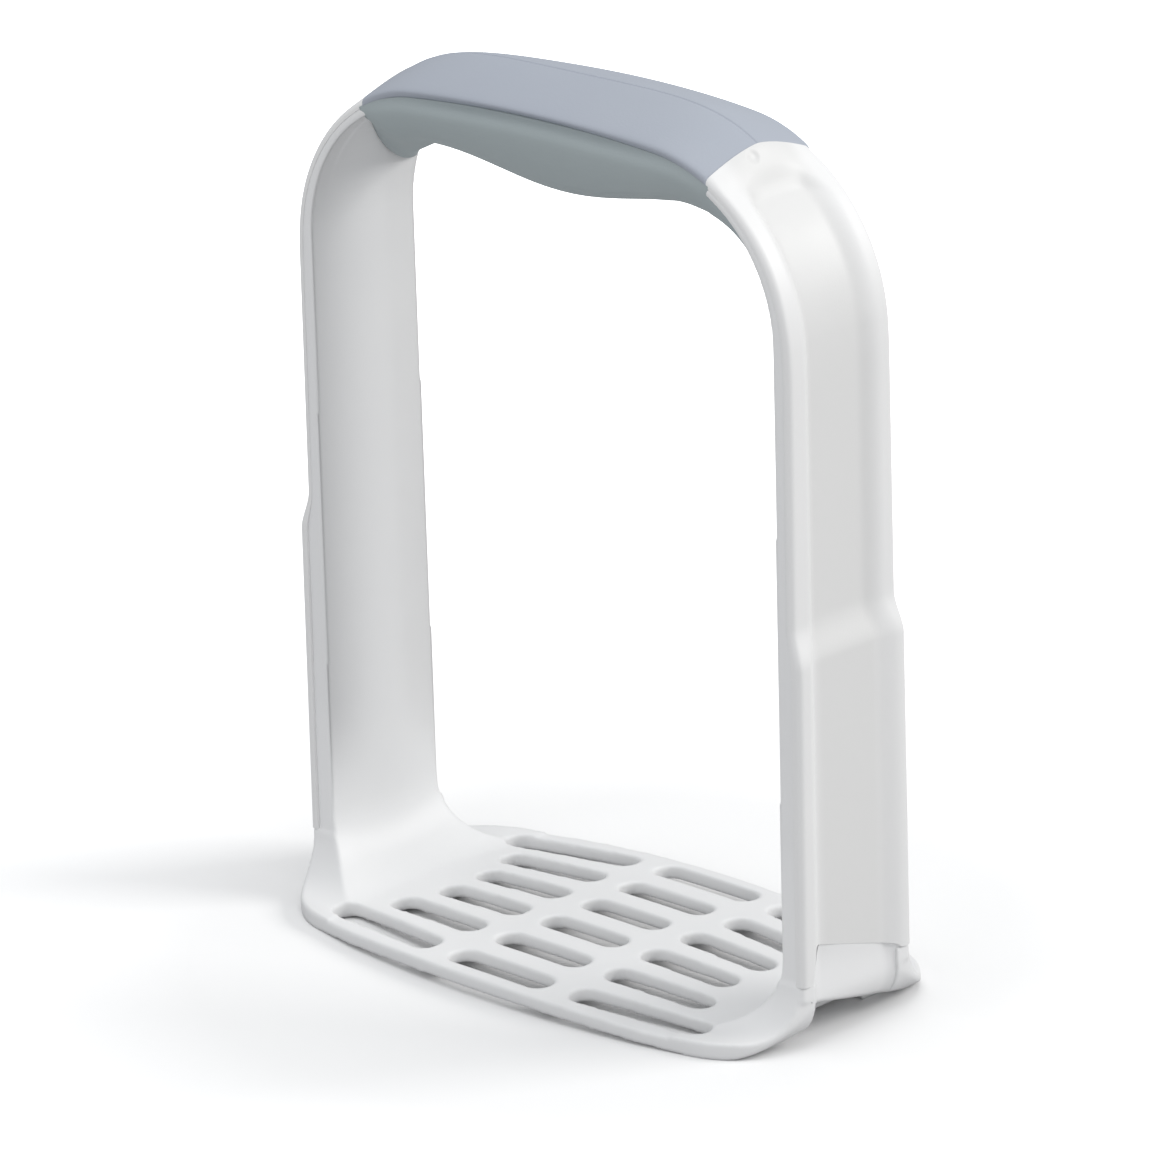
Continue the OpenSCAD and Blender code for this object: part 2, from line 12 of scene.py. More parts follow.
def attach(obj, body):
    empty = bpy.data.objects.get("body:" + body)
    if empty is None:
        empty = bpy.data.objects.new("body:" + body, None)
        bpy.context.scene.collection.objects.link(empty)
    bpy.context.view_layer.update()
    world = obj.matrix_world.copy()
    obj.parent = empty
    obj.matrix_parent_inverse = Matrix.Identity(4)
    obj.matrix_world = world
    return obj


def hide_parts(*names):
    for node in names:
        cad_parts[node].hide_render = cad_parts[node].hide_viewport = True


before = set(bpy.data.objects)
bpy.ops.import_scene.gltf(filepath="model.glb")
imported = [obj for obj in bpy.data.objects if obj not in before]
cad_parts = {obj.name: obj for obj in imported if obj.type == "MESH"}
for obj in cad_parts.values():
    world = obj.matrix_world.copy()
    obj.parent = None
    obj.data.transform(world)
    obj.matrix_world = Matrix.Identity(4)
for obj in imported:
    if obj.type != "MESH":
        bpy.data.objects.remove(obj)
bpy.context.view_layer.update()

MM = 0.001

# Camera, fitted to the photograph
CAMERA_PLACE = Vector((0.88355, -0.90960, 0.51206))
CAMERA_TURN = math.radians(44.332)
CAMERA_DIP = math.radians(19.009)
CAMERA_ROLL = math.radians(-1.684)
FOCAL_PIXELS = 7121.226
IMAGE_PIXELS = 1152
SENSOR = 36.0
FARTHEST_SEEN = 20.0

camera_data = bpy.data.cameras.new("camera")
camera_data.sensor_width = SENSOR
camera_data.lens = FOCAL_PIXELS / IMAGE_PIXELS * SENSOR
camera_data.clip_end = FARTHEST_SEEN
camera = bpy.data.objects.new("camera", camera_data)
bpy.context.collection.objects.link(camera)
turn = Matrix.Rotation(CAMERA_TURN, 4, "Z")
dip = Matrix.Rotation(math.radians(90) - CAMERA_DIP, 4, "X")
roll = Matrix.Rotation(CAMERA_ROLL, 4, "Z")
camera.matrix_world = Matrix.Translation(CAMERA_PLACE) @ turn @ dip @ roll
scene = bpy.context.scene
scene.camera = camera
scene.view_settings.view_transform = "Standard"

# Materials
CLOUD_SCALE = 28.0
POLISH_SCALE = 90.0
WAVE_SCALE = 14.0
GRAIN_STRENGTH = 0.5
SHEEN = 0.38
BEVEL_SAMPLES = 6
# Most values of a noise texture lie between these two
NOISE_LOW = 0.3
NOISE_HIGH = 0.7
# Painted shade: the recess floor is drawn greyer, and this fades out between these distances from the middle
RECESS_SHADE_START = 6.5 * MM
RECESS_SHADE_END = 10.5 * MM
# The crown of the legs grows between these heights
CROWN_START = 8 * MM
CROWN_FULL = 40 * MM
# The dimple's flat middle and its depth, as shares of its radius
DIMPLE_MIDDLE_SHARE = 0.15
DIMPLE_DEPTH_SHARE = 0.16


def new_material(name):
    material = bpy.data.materials.new(name)
    material.use_nodes = True
    return material, material.node_tree.nodes, material.node_tree.links


def noise(nodes, links, place, scale, detail):
    texture = nodes.new("ShaderNodeTexNoise")
    texture.inputs["Scale"].default_value = scale
    texture.inputs["Detail"].default_value = detail
    links.new(place, texture.inputs["Vector"])
    return texture.outputs["Fac"]


def ramp(nodes, links, value, first, last, low=0.0, high=1.0, shape="LINEAR"):
    """Goes from low to high while the value goes from first to last."""
    reach = nodes.new("ShaderNodeMapRange")
    reach.interpolation_type = shape
    reach.inputs["From Min"].default_value = first
    reach.inputs["From Max"].default_value = last
    reach.inputs["To Min"].default_value = low
    reach.inputs["To Max"].default_value = high
    links.new(value, reach.inputs["Value"])
    return reach.outputs["Result"]


def product(nodes, links, first, second):
    times = nodes.new("ShaderNodeMath")
    times.operation = "MULTIPLY"
    links.new(first, times.inputs[0])
    links.new(second, times.inputs[1])
    return times.outputs["Value"]


def axes(nodes, links, place):
    split = nodes.new("ShaderNodeSeparateXYZ")
    links.new(place, split.inputs["Vector"])
    return split.outputs


def between(nodes, links, share, first, second):
    mix = nodes.new("ShaderNodeMix")
    mix.data_type = "RGBA"
    links.new(share, mix.inputs["Factor"])
    mix.inputs["A"].default_value = (*first, 1)
    mix.inputs["B"].default_value = (*second, 1)
    return mix.outputs["Result"]


def relief(nodes, links, height, distance, strength=1.0, under=None, sunk=False):
    """A relief on top of the normal that lies under it; in a sunk one the height counts inward."""
    bump = nodes.new("ShaderNodeBump")
    bump.invert = sunk
    bump.inputs["Distance"].default_value = distance
    bump.inputs["Strength"].default_value = strength
    links.new(height, bump.inputs["Height"])
    if under is not None:
        links.new(under, bump.inputs["Normal"])
    return bump.outputs["Normal"]


def rounded_edges(nodes, radius):
    bevel = nodes.new("ShaderNodeBevel")
    bevel.samples = BEVEL_SAMPLES
    bevel.inputs["Radius"].default_value = radius
    return bevel.outputs["Normal"]


def recess_painted_shade(nodes, links, place, colour, recess_shade_colour):
    """Painted shade: the recess floor is drawn a little greyer than the thick borders, standing in for the
    shade in the recess.
    """
    away = nodes.new("ShaderNodeMath")
    away.operation = "ABSOLUTE"
    links.new(axes(nodes, links, place)["Y"], away.inputs[0])
    border = ramp(nodes, links, away.outputs["Value"], RECESS_SHADE_START, RECESS_SHADE_END, shape="SMOOTHSTEP")
    shaded = between(nodes, links, border, recess_shade_colour, (1, 1, 1))
    links.new(colour, shaded.node.inputs["B"])
    return shaded


def dimple(nodes, links, place, under, middle, radius):
    """A small round dimple."""
    away = nodes.new("ShaderNodeVectorMath")
    away.operation = "DISTANCE"
    links.new(place, away.inputs[0])
    away.inputs[1].default_value = middle
    flat = DIMPLE_MIDDLE_SHARE * radius
    wall = ramp(nodes, links, away.outputs["Value"], flat, radius, shape="SMOOTHSTEP")
    return relief(nodes, links, wall, DIMPLE_DEPTH_SHARE * radius, under=under)


def crowned(nodes, links, place, under, crown):
    """The legs' inner faces bulge a little from front to back."""
    along = axes(nodes, links, place)
    square = product(nodes, links, along["Y"], along["Y"])
    above = ramp(nodes, links, along["Z"], CROWN_START, CROWN_FULL, shape="SMOOTHSTEP")
    dome = product(nodes, links, square, above)
    return relief(nodes, links, dome, crown, under=under, sunk=True)


def moulded(
    name, pale, deep, rough, grain_scale, grain_height,
    waviness=0.0, crown=0.0, edge=0.0, recess_shade_colour=None, dent=None,
):
    """A moulded plastic or rubber: cloudy tone, uneven polish and a fine grain."""
    material, nodes, links = new_material(name)
    shader = nodes["Principled BSDF"]
    place = nodes.new("ShaderNodeTexCoord").outputs["Object"]
    cloud = noise(nodes, links, place, CLOUD_SCALE, detail=3.0)
    share = ramp(nodes, links, cloud, NOISE_LOW, NOISE_HIGH)
    colour = between(nodes, links, share, pale, deep)
    # Painted shade in the recess: its floor is drawn greyer than the borders
    if recess_shade_colour:
        colour = recess_painted_shade(nodes, links, place, colour, recess_shade_colour)
    links.new(colour, shader.inputs["Base Color"])
    polish = noise(nodes, links, place, POLISH_SCALE, detail=4.0)
    links.new(ramp(nodes, links, polish, NOISE_LOW, NOISE_HIGH, *rough), shader.inputs["Roughness"])
    normal = rounded_edges(nodes, edge) if edge else None
    grain = noise(nodes, links, place, grain_scale, detail=2.0)
    normal = relief(nodes, links, grain, grain_height, GRAIN_STRENGTH, under=normal)
    if dent:
        normal = dimple(nodes, links, place, normal, *dent)
    if waviness:
        swell = noise(nodes, links, place, WAVE_SCALE, detail=1.0)
        normal = relief(nodes, links, swell, waviness, under=normal)
    if crown:
        normal = crowned(nodes, links, place, normal, crown)
    links.new(normal, shader.inputs["Normal"])
    shader.inputs["Specular IOR Level"].default_value = SHEEN
    return material


PLASTIC_GRAIN = 2600.0
PLASTIC_GRAIN_HEIGHT = 0.02 * MM
PLASTIC_WAVINESS = 0.4 * MM
RUBBER_GRAIN = 1800.0
RUBBER_GRAIN_HEIGHT = 0.06 * MM
LEG_CROWN = 28.0
FRAME_EDGE = 1.1 * MM
DIMPLE_MIDDLE = (0.0452, -0.0028, 0.1655)
DIMPLE_RADIUS = 1.8 * MM

frame_white = moulded(
    "frame_white",
    pale=(0.885, 0.888, 0.89),
    deep=(0.865, 0.868, 0.873),
    rough=(0.36, 0.46),
    grain_scale=PLASTIC_GRAIN,
    grain_height=PLASTIC_GRAIN_HEIGHT,
    waviness=PLASTIC_WAVINESS,
    crown=LEG_CROWN,
    edge=FRAME_EDGE,
)
cover_white = moulded(
    "cover_white",
    pale=(0.875, 0.875, 0.873),
    deep=(0.86, 0.861, 0.861),
    rough=(0.38, 0.48),
    grain_scale=PLASTIC_GRAIN,
    grain_height=PLASTIC_GRAIN_HEIGHT,
    waviness=PLASTIC_WAVINESS,
    # Colour of the painted shade on the recess floor
    recess_shade_colour=(0.785, 0.785, 0.78),
    dent=(DIMPLE_MIDDLE, DIMPLE_RADIUS),
)
upper_grey = moulded(
    "upper_grey",
    pale=(0.43, 0.463, 0.523),
    deep=(0.41, 0.443, 0.508),
    rough=(0.55, 0.68),
    grain_scale=RUBBER_GRAIN,
    grain_height=RUBBER_GRAIN_HEIGHT,
)
lower_grey = moulded(
    "lower_grey",
    pale=(0.41, 0.463, 0.476),
    deep=(0.39, 0.443, 0.456),
    rough=(0.58, 0.70),
    grain_scale=RUBBER_GRAIN,
    grain_height=RUBBER_GRAIN_HEIGHT,
)

# Driving sizes of the handle, in millimetres
HALF_WIDTH = 65.1
UPPER_HALF_WIDTH = 63.2
OVERALL_HEIGHT = 173.0
RIDGE_HEIGHT = 5.5
RIDGE_FALL = 5.8
RIDGE_POWER = 4.7
COVER_EDGE = 1.3
ARCH_START = 127.5
ARCH_FIRST_RADIUS = 107.0
ARCH_FIRST_ANGLE = math.radians(3.8)
ARCH_CORNER_RADIUS = 35.3
HAND_CORNER_X = 29.5
HAND_CORNER_HEIGHT = 134.2
HAND_CORNER_RADIUS = 29.7
HAND_TOP = HAND_CORNER_HEIGHT + HAND_CORNER_RADIUS
PAD_HALF_LENGTH = 43.8
GRIP_WIDTH = 32.0
GRIP_END_WIDTH = 28.4
GRIP_SWELL_POWER = 0.8
LEG_HALF_WIDTH = 13.9
UPPER_ROUNDING = 2.3
UPPER_BULGE = 0.35
LOWER_ROUNDING = 1.8
LOWER_REACH = 1.7
# Faces that would otherwise lie in one another are kept this far apart
APART = 0.05

# The arch's three arcs
ARCH_TOP = OVERALL_HEIGHT - RIDGE_HEIGHT + COVER_EDGE
CORNER_X = UPPER_HALF_WIDTH - ARCH_FIRST_RADIUS
CORNER_X += (ARCH_FIRST_RADIUS - ARCH_CORNER_RADIUS) * math.cos(ARCH_FIRST_ANGLE)
CORNER_Z = ARCH_START + (ARCH_FIRST_RADIUS - ARCH_CORNER_RADIUS) * math.sin(ARCH_FIRST_ANGLE)
CORNER_DROP = ARCH_TOP - CORNER_Z
TOP_RADIUS = (CORNER_X**2 + CORNER_DROP**2 - ARCH_CORNER_RADIUS**2) / (2 * (CORNER_DROP - ARCH_CORNER_RADIUS))
TOP_CENTRE_Z = ARCH_TOP - TOP_RADIUS
TOP_ARC_HALF_LENGTH = TOP_RADIUS * CORNER_X / (TOP_RADIUS - ARCH_CORNER_RADIUS)


def arch_z(x, inset):
    """Height of the arch's outline above a place, less an inset towards the arcs' middles."""
    if abs(x) <= TOP_ARC_HALF_LENGTH:
        return TOP_CENTRE_Z + math.sqrt((TOP_RADIUS - inset) ** 2 - x * x)
    return CORNER_Z + math.sqrt((ARCH_CORNER_RADIUS - inset) ** 2 - (abs(x) - CORNER_X) ** 2)


def grip_half_width(x):
    swell = max(0.0, math.cos(math.radians(90) * min(1.0, abs(x) / PAD_HALF_LENGTH)))
    return GRIP_END_WIDTH / 2 + (GRIP_WIDTH - GRIP_END_WIDTH) / 2 * swell**GRIP_SWELL_POWER


def ridge_z(x):
    return OVERALL_HEIGHT - RIDGE_FALL * (abs(x) / PAD_HALF_LENGTH) ** RIDGE_POWER


def undercut(half, wanted):
    """How far a pad's side is drawn in at the seam, without baring the bar inside."""
    return max(0.0, min(wanted, half - LEG_HALF_WIDTH - APART))


def seam_pull(half, distance):
    """How far the lower pad's side is drawn in at a distance below the seam."""
    return undercut(half, LOWER_ROUNDING) * math.exp(-((distance / LOWER_REACH) ** 2))


def spaced(first, last, steps):
    """Evenly spaced values from first to last, with both ends."""
    return [first + (last - first) * i / steps for i in range(steps + 1)]


def smooth_step(value):
    share = min(1.0, max(0.0, value))
    return share * share * (3 - 2 * share)


def even_points(line, count):
    """The same line with evenly spaced points."""
    lengths = [0.0]
    for first, second in zip(line, line[1:]):
        lengths.append(lengths[-1] + math.dist(first, second))
    even = []
    k = 0
    for wanted in spaced(0.0, lengths[-1], count - 1):
        while k < len(line) - 2 and lengths[k + 1] < wanted:
            k += 1
        share = (wanted - lengths[k]) / max(1e-9, lengths[k + 1] - lengths[k])
        even.append(tuple(a + (b - a) * share for a, b in zip(line[k], line[k + 1])))
    return even


def softened(line, passes):
    """The same line with its bends rounded; both ends stay where they are."""
    for _ in range(passes):
        inner = [
            tuple((a + 2 * b + c) / 4 for a, b, c in zip(line[i - 1], line[i], line[i + 1]))
            for i in range(1, len(line) - 1)
        ]
        line = [line[0], *inner, line[-1]]
    return line


def mesh_object(name, points, faces, material):
    mesh = bpy.data.meshes.new(name)
    mesh.from_pydata([tuple(MM * value for value in point) for point in points], [], faces)
    mesh.validate()
    mesh.update()
    for face in mesh.polygons:
        face.use_smooth = True
    made = bpy.data.objects.new(name, mesh)
    bpy.context.collection.objects.link(made)
    mesh.materials.append(material)
    return made


def loft(rings):
    """A skin over rings of as many points each, closed at both ends."""
    count = len(rings[0])
    points = [point for ring in rings for point in ring]
    faces = []
    for i in range(len(rings) - 1):
        for j in range(count):
            k = (j + 1) % count
            faces.append((i * count + j, i * count + k, (i + 1) * count + k, (i + 1) * count + j))
    last = (len(rings) - 1) * count
    faces.append(tuple(range(count - 1, -1, -1)))
    faces.append(tuple(last + j for j in range(count)))
    return points, faces


# Upper pad
UPPER_STATIONS = 80
UPPER_LAST_SHARE = 0.998
UPPER_END_SHRINK = 0.25
RIDGE_STEPS = 20
RIDGE_GROOVE = 0.3
RIDGE_GROOVE_REACH = 0.25
RIDGE_SHARES = (0.9, 0.7, 0.5, 0.35, 0.2, 0.1)
SIDE_POINTS = 64
SIDE_PASSES = 40
ROOF_EDGE = 1.3
ROOF_BEND = 1.3


def upper_side(x, shrink):
    """Half of the upper pad's section, from the seam up to the ridge, as Y and Z."""
    half = grip_half_width(x) - shrink
    seam = arch_z(x, COVER_EDGE) + APART
    eaves = seam + ROOF_EDGE
    top = ridge_z(x) - shrink
    bulge = min(UPPER_BULGE, undercut(half, UPPER_ROUNDING))
    line = [(half - undercut(half, UPPER_ROUNDING), seam), (half + bulge, eaves)]
    for i in range(1, RIDGE_STEPS + 1):
        share = 1 - i / RIDGE_STEPS
        line.append(((half + bulge) * share, eaves + (top - eaves) * (1 - share**ROOF_BEND)))
    return softened(even_points(line, SIDE_POINTS), SIDE_PASSES)


def upper_ring(x, shrink):
    side = upper_side(x, shrink)
    # Close to the ridge the points lie closer, for the fine parting line
    last_y, last_z = side[-2]
    top = side[-1][1]
    fine = [(last_y * share, top + (last_z - top) * share) for share in RIDGE_SHARES]
    side = side[:-1] + fine
    grooved = [(y, z - RIDGE_GROOVE * math.exp(-((y / RIDGE_GROOVE_REACH) ** 2))) for y, z in side]
    ring = [(x, -y, z) for y, z in grooved]
    ring.append((x, 0.0, top - RIDGE_GROOVE))
    ring.extend((x, y, z) for y, z in reversed(grooved))
    return ring


def upper_station(i):
    """Where along the pad a ring stands: closer together towards both ends."""
    return UPPER_LAST_SHARE * PAD_HALF_LENGTH * math.sin(math.radians(-90 + 180 * i / UPPER_STATIONS))


upper_rings = [upper_ring(-PAD_HALF_LENGTH, UPPER_END_SHRINK)]
for i in range(1, UPPER_STATIONS):
    upper_rings.append(upper_ring(upper_station(i), 0.0))
upper_rings.append(upper_ring(PAD_HALF_LENGTH, UPPER_END_SHRINK))
points, faces = loft(upper_rings)
upper_pad = mesh_object("upper_pad", points, [face[::-1] for face in faces], upper_grey)
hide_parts("grip_upper_pad")
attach(upper_pad, "root")

# Lower pad: a belly between the hand's corners, and a tongue down each corner
BELLY_MIDDLE_DEPTH = 12.6
BELLY_END_DEPTH = 8.8
BELLY_SHIFT = 8.0
BELLY_SWELL_REACH = 4
BELLY_SWELL_LENGTH = HAND_CORNER_X + BELLY_SWELL_REACH
BELLY_LONG_ANGLE = {-1: math.radians(70), 1: math.radians(60)}
BELLY_SHORT_ANGLE = math.asin((PAD_HALF_LENGTH - HAND_CORNER_X) / HAND_CORNER_RADIUS)
BELLY_SQUARENESS = 0.8
BELLY_SLANT_FULLNESS = 0.35
BELLY_SLANT_POWER = 1.3
BELLY_TAPER = 0.85
BELLY_TAPER_POWER = {-1: 5, 1: 2.4}
TONGUE_ROOT = 0.3
TONGUE_INSET = 0.3
TONGUE_LAST_SHARE = 0.995
TONGUE_END_FLATNESS = 0.9
BELLY_STEPS = 60
FLAT_STATIONS = 28
CORNER_STATIONS = 30


def oval(turn, squareness):
    across = math.cos(turn)
    sign = -1 if across < 0 else 1
    return sign * abs(across) ** squareness, abs(math.sin(turn)) ** squareness


def belly_swell(x, across):
    share = min(1.0, abs(x + BELLY_SHIFT * across) / BELLY_SWELL_LENGTH)
    return (BELLY_MIDDLE_DEPTH - BELLY_END_DEPTH) * math.cos(math.radians(90) * share) ** 2


def belly_point(x, turn):
    """A point of the belly, at a turn from one side of the pad round below to the other."""
    depth = BELLY_END_DEPTH + belly_swell(x, math.cos(turn))
    over = arch_z(x, COVER_EDGE) - HAND_TOP - APART
    across, down = oval(turn, BELLY_SQUARENESS)
    drop = (depth + over) * down
    half = grip_half_width(x)
    half -= seam_pull(half, drop)
    return (x, half * across, HAND_TOP + over - drop)


def belly_corner_point(side, share, turn, flat):
    """A point of the tongue, at a share of the way from the belly down the hand's corner."""
    squareness = BELLY_SQUARENESS + BELLY_SLANT_FULLNESS * share * max(0.0, -side * math.cos(turn))
    across, down = oval(turn, squareness)
    stretch = math.sin(math.radians(45) * (1 - side * across)) ** BELLY_SLANT_POWER
    angle = share * (BELLY_SHORT_ANGLE + (BELLY_LONG_ANGLE[side] - BELLY_SHORT_ANGLE) * stretch)
    x = HAND_CORNER_X + HAND_CORNER_RADIUS * math.sin(angle)
    z = HAND_CORNER_HEIGHT + HAND_CORNER_RADIUS * math.cos(angle)
    beside_pad = x < PAD_HALF_LENGTH
    over = arch_z(x, COVER_EDGE) - z - APART if beside_pad else TONGUE_ROOT
    half = grip_half_width(x) if beside_pad else LEG_HALF_WIDTH - TONGUE_INSET
    swell = belly_swell(side * x, math.cos(turn)) * (1 - share)
    depth = BELLY_END_DEPTH * (1 - BELLY_TAPER * share ** BELLY_TAPER_POWER[side]) + swell
    drop = (depth * (1 - flat) + over) * down
    if beside_pad:
        half -= seam_pull(half, drop)
    inward = drop - over
    return (side * (x - inward * math.sin(angle)), half * across, z - inward * math.cos(angle))


turns = [math.pi * (0.5 - 0.5 * math.cos(math.pi * j / BELLY_STEPS)) for j in range(BELLY_STEPS + 1)]


def corner_ring(side, share, flat=0):
    return [belly_corner_point(side, share, turn, flat) for turn in turns]


lower_rings = [corner_ring(-1, 1.0, TONGUE_END_FLATNESS)]
for i in range(CORNER_STATIONS, 0, -1):
    lower_rings.append(corner_ring(-1, TONGUE_LAST_SHARE * i / CORNER_STATIONS))
for i in range(FLAT_STATIONS + 1):
    lower_rings.append([belly_point(HAND_CORNER_X * (2 * i / FLAT_STATIONS - 1), turn) for turn in turns])
for i in range(1, CORNER_STATIONS + 1):
    lower_rings.append(corner_ring(1, TONGUE_LAST_SHARE * i / CORNER_STATIONS))
lower_rings.append(corner_ring(1, 1.0, TONGUE_END_FLATNESS))
points, faces = loft(lower_rings)
lower_pad = mesh_object("lower_pad", points, faces, lower_grey)
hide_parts("grip_lower_pad")
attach(lower_pad, "root")

# Handle cover: a shell along the handle's outline with a softly dished recess
LEG_HALF_WIDTH_LOW = 14.7
COVER_LIP = 0.4
SHOULDER_HEIGHT = 74.5
SHOULDER_LENGTH = 8.0
SHOULDER_MARGIN = 2
COVER_EDGE_LOW = 1.9
COVER_END_HEIGHT = 12.9
COVER_SLANT_HEIGHT = 17.0
COVER_SLANT = 0.286
COVER_SLANT_HALF = 12.6
COVER_SLANT_EDGE = 1.6
COVER_SLANT_REACH = 40
COVER_OVERLAP = 0.2
COVER_SHARP_ANGLE = math.radians(50)
RIB_DEPTH = 2.5
RECESS_DEPTH = 1.4
RECESS_HALF_LOW = 11.2
RECESS_HALF_HIGH = 9.2
RECESS_SOFTNESS = 3.0
RECESS_SOFTNESS_BACK = 5.0
RECESS_WALL_SHIFT = 0.7
RECESS_DISH = 0.3
RECESS_START = 46.6
RECESS_START_MARGIN = 0.2
RECESS_START_SHIFT = 0.5
RECESS_CORNER_POWER = 4
EDGE_ROUNDING = 1.2
BED_HALF_WIDTH = 10.9
BED_GAP = 0.6
BED_LEAN = 0.3
COLLAR_LENGTH = 4.5
COLLAR_GAP = 0.1
COLLAR_EDGE = 1.2
COLLAR_POWER = 1.5
SLOPE_STEP = 0.01
COVER_COLUMNS = 26
LOWER_LEG_STEPS = 24
SHOULDER_STEPS = 24
UPPER_LEG_STEPS = 12
FIRST_ARC_STEPS = 5
CORNER_ARC_STEPS = 90
BED_STEPS = 8


def shoulder_share(z):
    """1 on the wider lower leg, 0 above the shoulder."""
    return 1 - smooth_step((z - SHOULDER_HEIGHT) / SHOULDER_LENGTH)


def cover_half_width(z):
    share = min(1.0, z / ARCH_START)
    return LEG_HALF_WIDTH_LOW + (LEG_HALF_WIDTH - LEG_HALF_WIDTH_LOW) * share + COVER_LIP * shoulder_share(z)


def leg_outline(z):
    """Outline place and outward angle on the right leg below the arch."""
    lean = (HALF_WIDTH - UPPER_HALF_WIDTH) * shoulder_share(z)
    growth = shoulder_share(z + SLOPE_STEP) - shoulder_share(z)
    slope = (HALF_WIDTH - UPPER_HALF_WIDTH) * growth / SLOPE_STEP
    return UPPER_HALF_WIDTH + lean, z, math.atan(-slope)


def right_outline():
    """Places from the cover's lower end on the right to the middle of the bar."""
    below = SHOULDER_HEIGHT - SHOULDER_MARGIN
    above = SHOULDER_HEIGHT + SHOULDER_LENGTH + SHOULDER_MARGIN
    places = [leg_outline(z) for z in spaced(COVER_END_HEIGHT, below, LOWER_LEG_STEPS)[:-1]]
    places.extend(leg_outline(z) for z in spaced(below, above, SHOULDER_STEPS))
    places.extend(leg_outline(z) for z in spaced(above, ARCH_START, UPPER_LEG_STEPS)[1:])
    for angle in spaced(0, ARCH_FIRST_ANGLE, FIRST_ARC_STEPS)[1:]:
        x = UPPER_HALF_WIDTH - ARCH_FIRST_RADIUS + ARCH_FIRST_RADIUS * math.cos(angle)
        places.append((x, ARCH_START + ARCH_FIRST_RADIUS * math.sin(angle), angle))
    end_angle = math.acos((PAD_HALF_LENGTH + COLLAR_GAP - CORNER_X) / ARCH_CORNER_RADIUS)
    for angle in spaced(ARCH_FIRST_ANGLE, end_angle, CORNER_ARC_STEPS)[1:]:
        x = CORNER_X + ARCH_CORNER_RADIUS * math.cos(angle)
        places.append((x, CORNER_Z + ARCH_CORNER_RADIUS * math.sin(angle), angle))
    for x in spaced(PAD_HALF_LENGTH - BED_GAP, 0, BED_STEPS):
        places.append((x, arch_z(x, 0), math.radians(90) - BED_LEAN * x / PAD_HALF_LENGTH))
    return places


def recess_inset(x, z, y):
    """How deep the recess is at a place of the cover's outer face."""
    half = RECESS_HALF_HIGH + (RECESS_HALF_LOW - RECESS_HALF_HIGH) * shoulder_share(z)
    softness = RECESS_SOFTNESS_BACK if y > 0 else RECESS_SOFTNESS
    across = smooth_step((half + 0.5 * softness - RECESS_WALL_SHIFT - abs(y)) / softness)
    start = 1.0
    if z > ARCH_START:
        along = math.hypot(x - RECESS_START, z - arch_z(RECESS_START, 0))
        corner = RECESS_SOFTNESS * (abs(y) / half) ** RECESS_CORNER_POWER
        start = smooth_step((along - corner + RECESS_START_SHIFT) / RECESS_SOFTNESS_BACK)
        if x <= RECESS_START - RECESS_START_MARGIN:
            start = 0.0
    return (RECESS_DEPTH + RECESS_DISH * (1 - (y / half) ** 2) * across) * across * start


def collar_rise(x, z, y, half):
    """How far the collar beside the grip stands above the handle's outline."""
    if x < PAD_HALF_LENGTH or z < ARCH_START:
        return 0.0
    eaves = arch_z(PAD_HALF_LENGTH, COVER_EDGE) + COLLAR_EDGE
    roof = eaves + (ridge_z(PAD_HALF_LENGTH) - eaves) * (1 - (abs(y) / half) ** COLLAR_POWER)
    height = max(0.0, roof - arch_z(PAD_HALF_LENGTH + COLLAR_GAP, 0))
    return height * (1 - smooth_step((x - PAD_HALF_LENGTH - COLLAR_GAP) / COLLAR_LENGTH))


def end_lift(z, turned_y):
    """How far the recess's slanted lower end draws a point of the cover upwards."""
    if z > COVER_SLANT_REACH:
        return 0.0
    lift = COVER_SLANT_HEIGHT - COVER_SLANT * turned_y - COVER_END_HEIGHT
    lift *= smooth_step((COVER_SLANT_HALF - abs(turned_y)) / COVER_SLANT_EDGE)
    return lift * (COVER_SLANT_REACH - z) / (COVER_SLANT_REACH - COVER_END_HEIGHT)


def cover_section(x, z, angle, side):
    """A ring round the cover: over its outer face, and back along its inner side."""
    under_pad = x < PAD_HALF_LENGTH
    half = BED_HALF_WIDTH if under_pad else cover_half_width(z)
    edge = COVER_EDGE + (COVER_EDGE_LOW - COVER_EDGE) * shoulder_share(z)
    outer = []
    for j in range(-COVER_COLUMNS, COVER_COLUMNS + 1):
        y = half * math.sin(math.radians(90) * j / COVER_COLUMNS)
        from_edge = max(0.0, EDGE_ROUNDING - (half - abs(y)))
        inset = EDGE_ROUNDING - math.sqrt(max(0.0, EDGE_ROUNDING**2 - from_edge**2))
        rise = 0.0
        if not under_pad:
            inset += recess_inset(x, z, y)
            rise = collar_rise(x, z, y, half)
        height = z + end_lift(z, side * y)
        outer.append((side * (x - inset * math.cos(angle)), y, height - inset * math.sin(angle) + rise))
    wall = edge + COVER_OVERLAP
    rib = RECESS_HALF_HIGH
    inner = []
    for y, depth in ((half, wall), (rib, RIB_DEPTH), (-rib, RIB_DEPTH), (-half, wall)):
        height = z + end_lift(z, side * y)
        inner.append((side * (x - depth * math.cos(angle)), y, height - depth * math.sin(angle)))
    return outer + inner


stations = right_outline()
cover_rings = [cover_section(x, z, angle, 1) for x, z, angle in stations]
cover_rings.extend(cover_section(x, z, angle, -1) for x, z, angle in reversed(stations[:-1]))
points, faces = loft(cover_rings)
cover_shell = mesh_object("cover_shell", points, faces, cover_white)
cover_shell.data.set_sharp_from_angle(angle=COVER_SHARP_ANGLE)
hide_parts("handle_cover")
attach(cover_shell, "root")

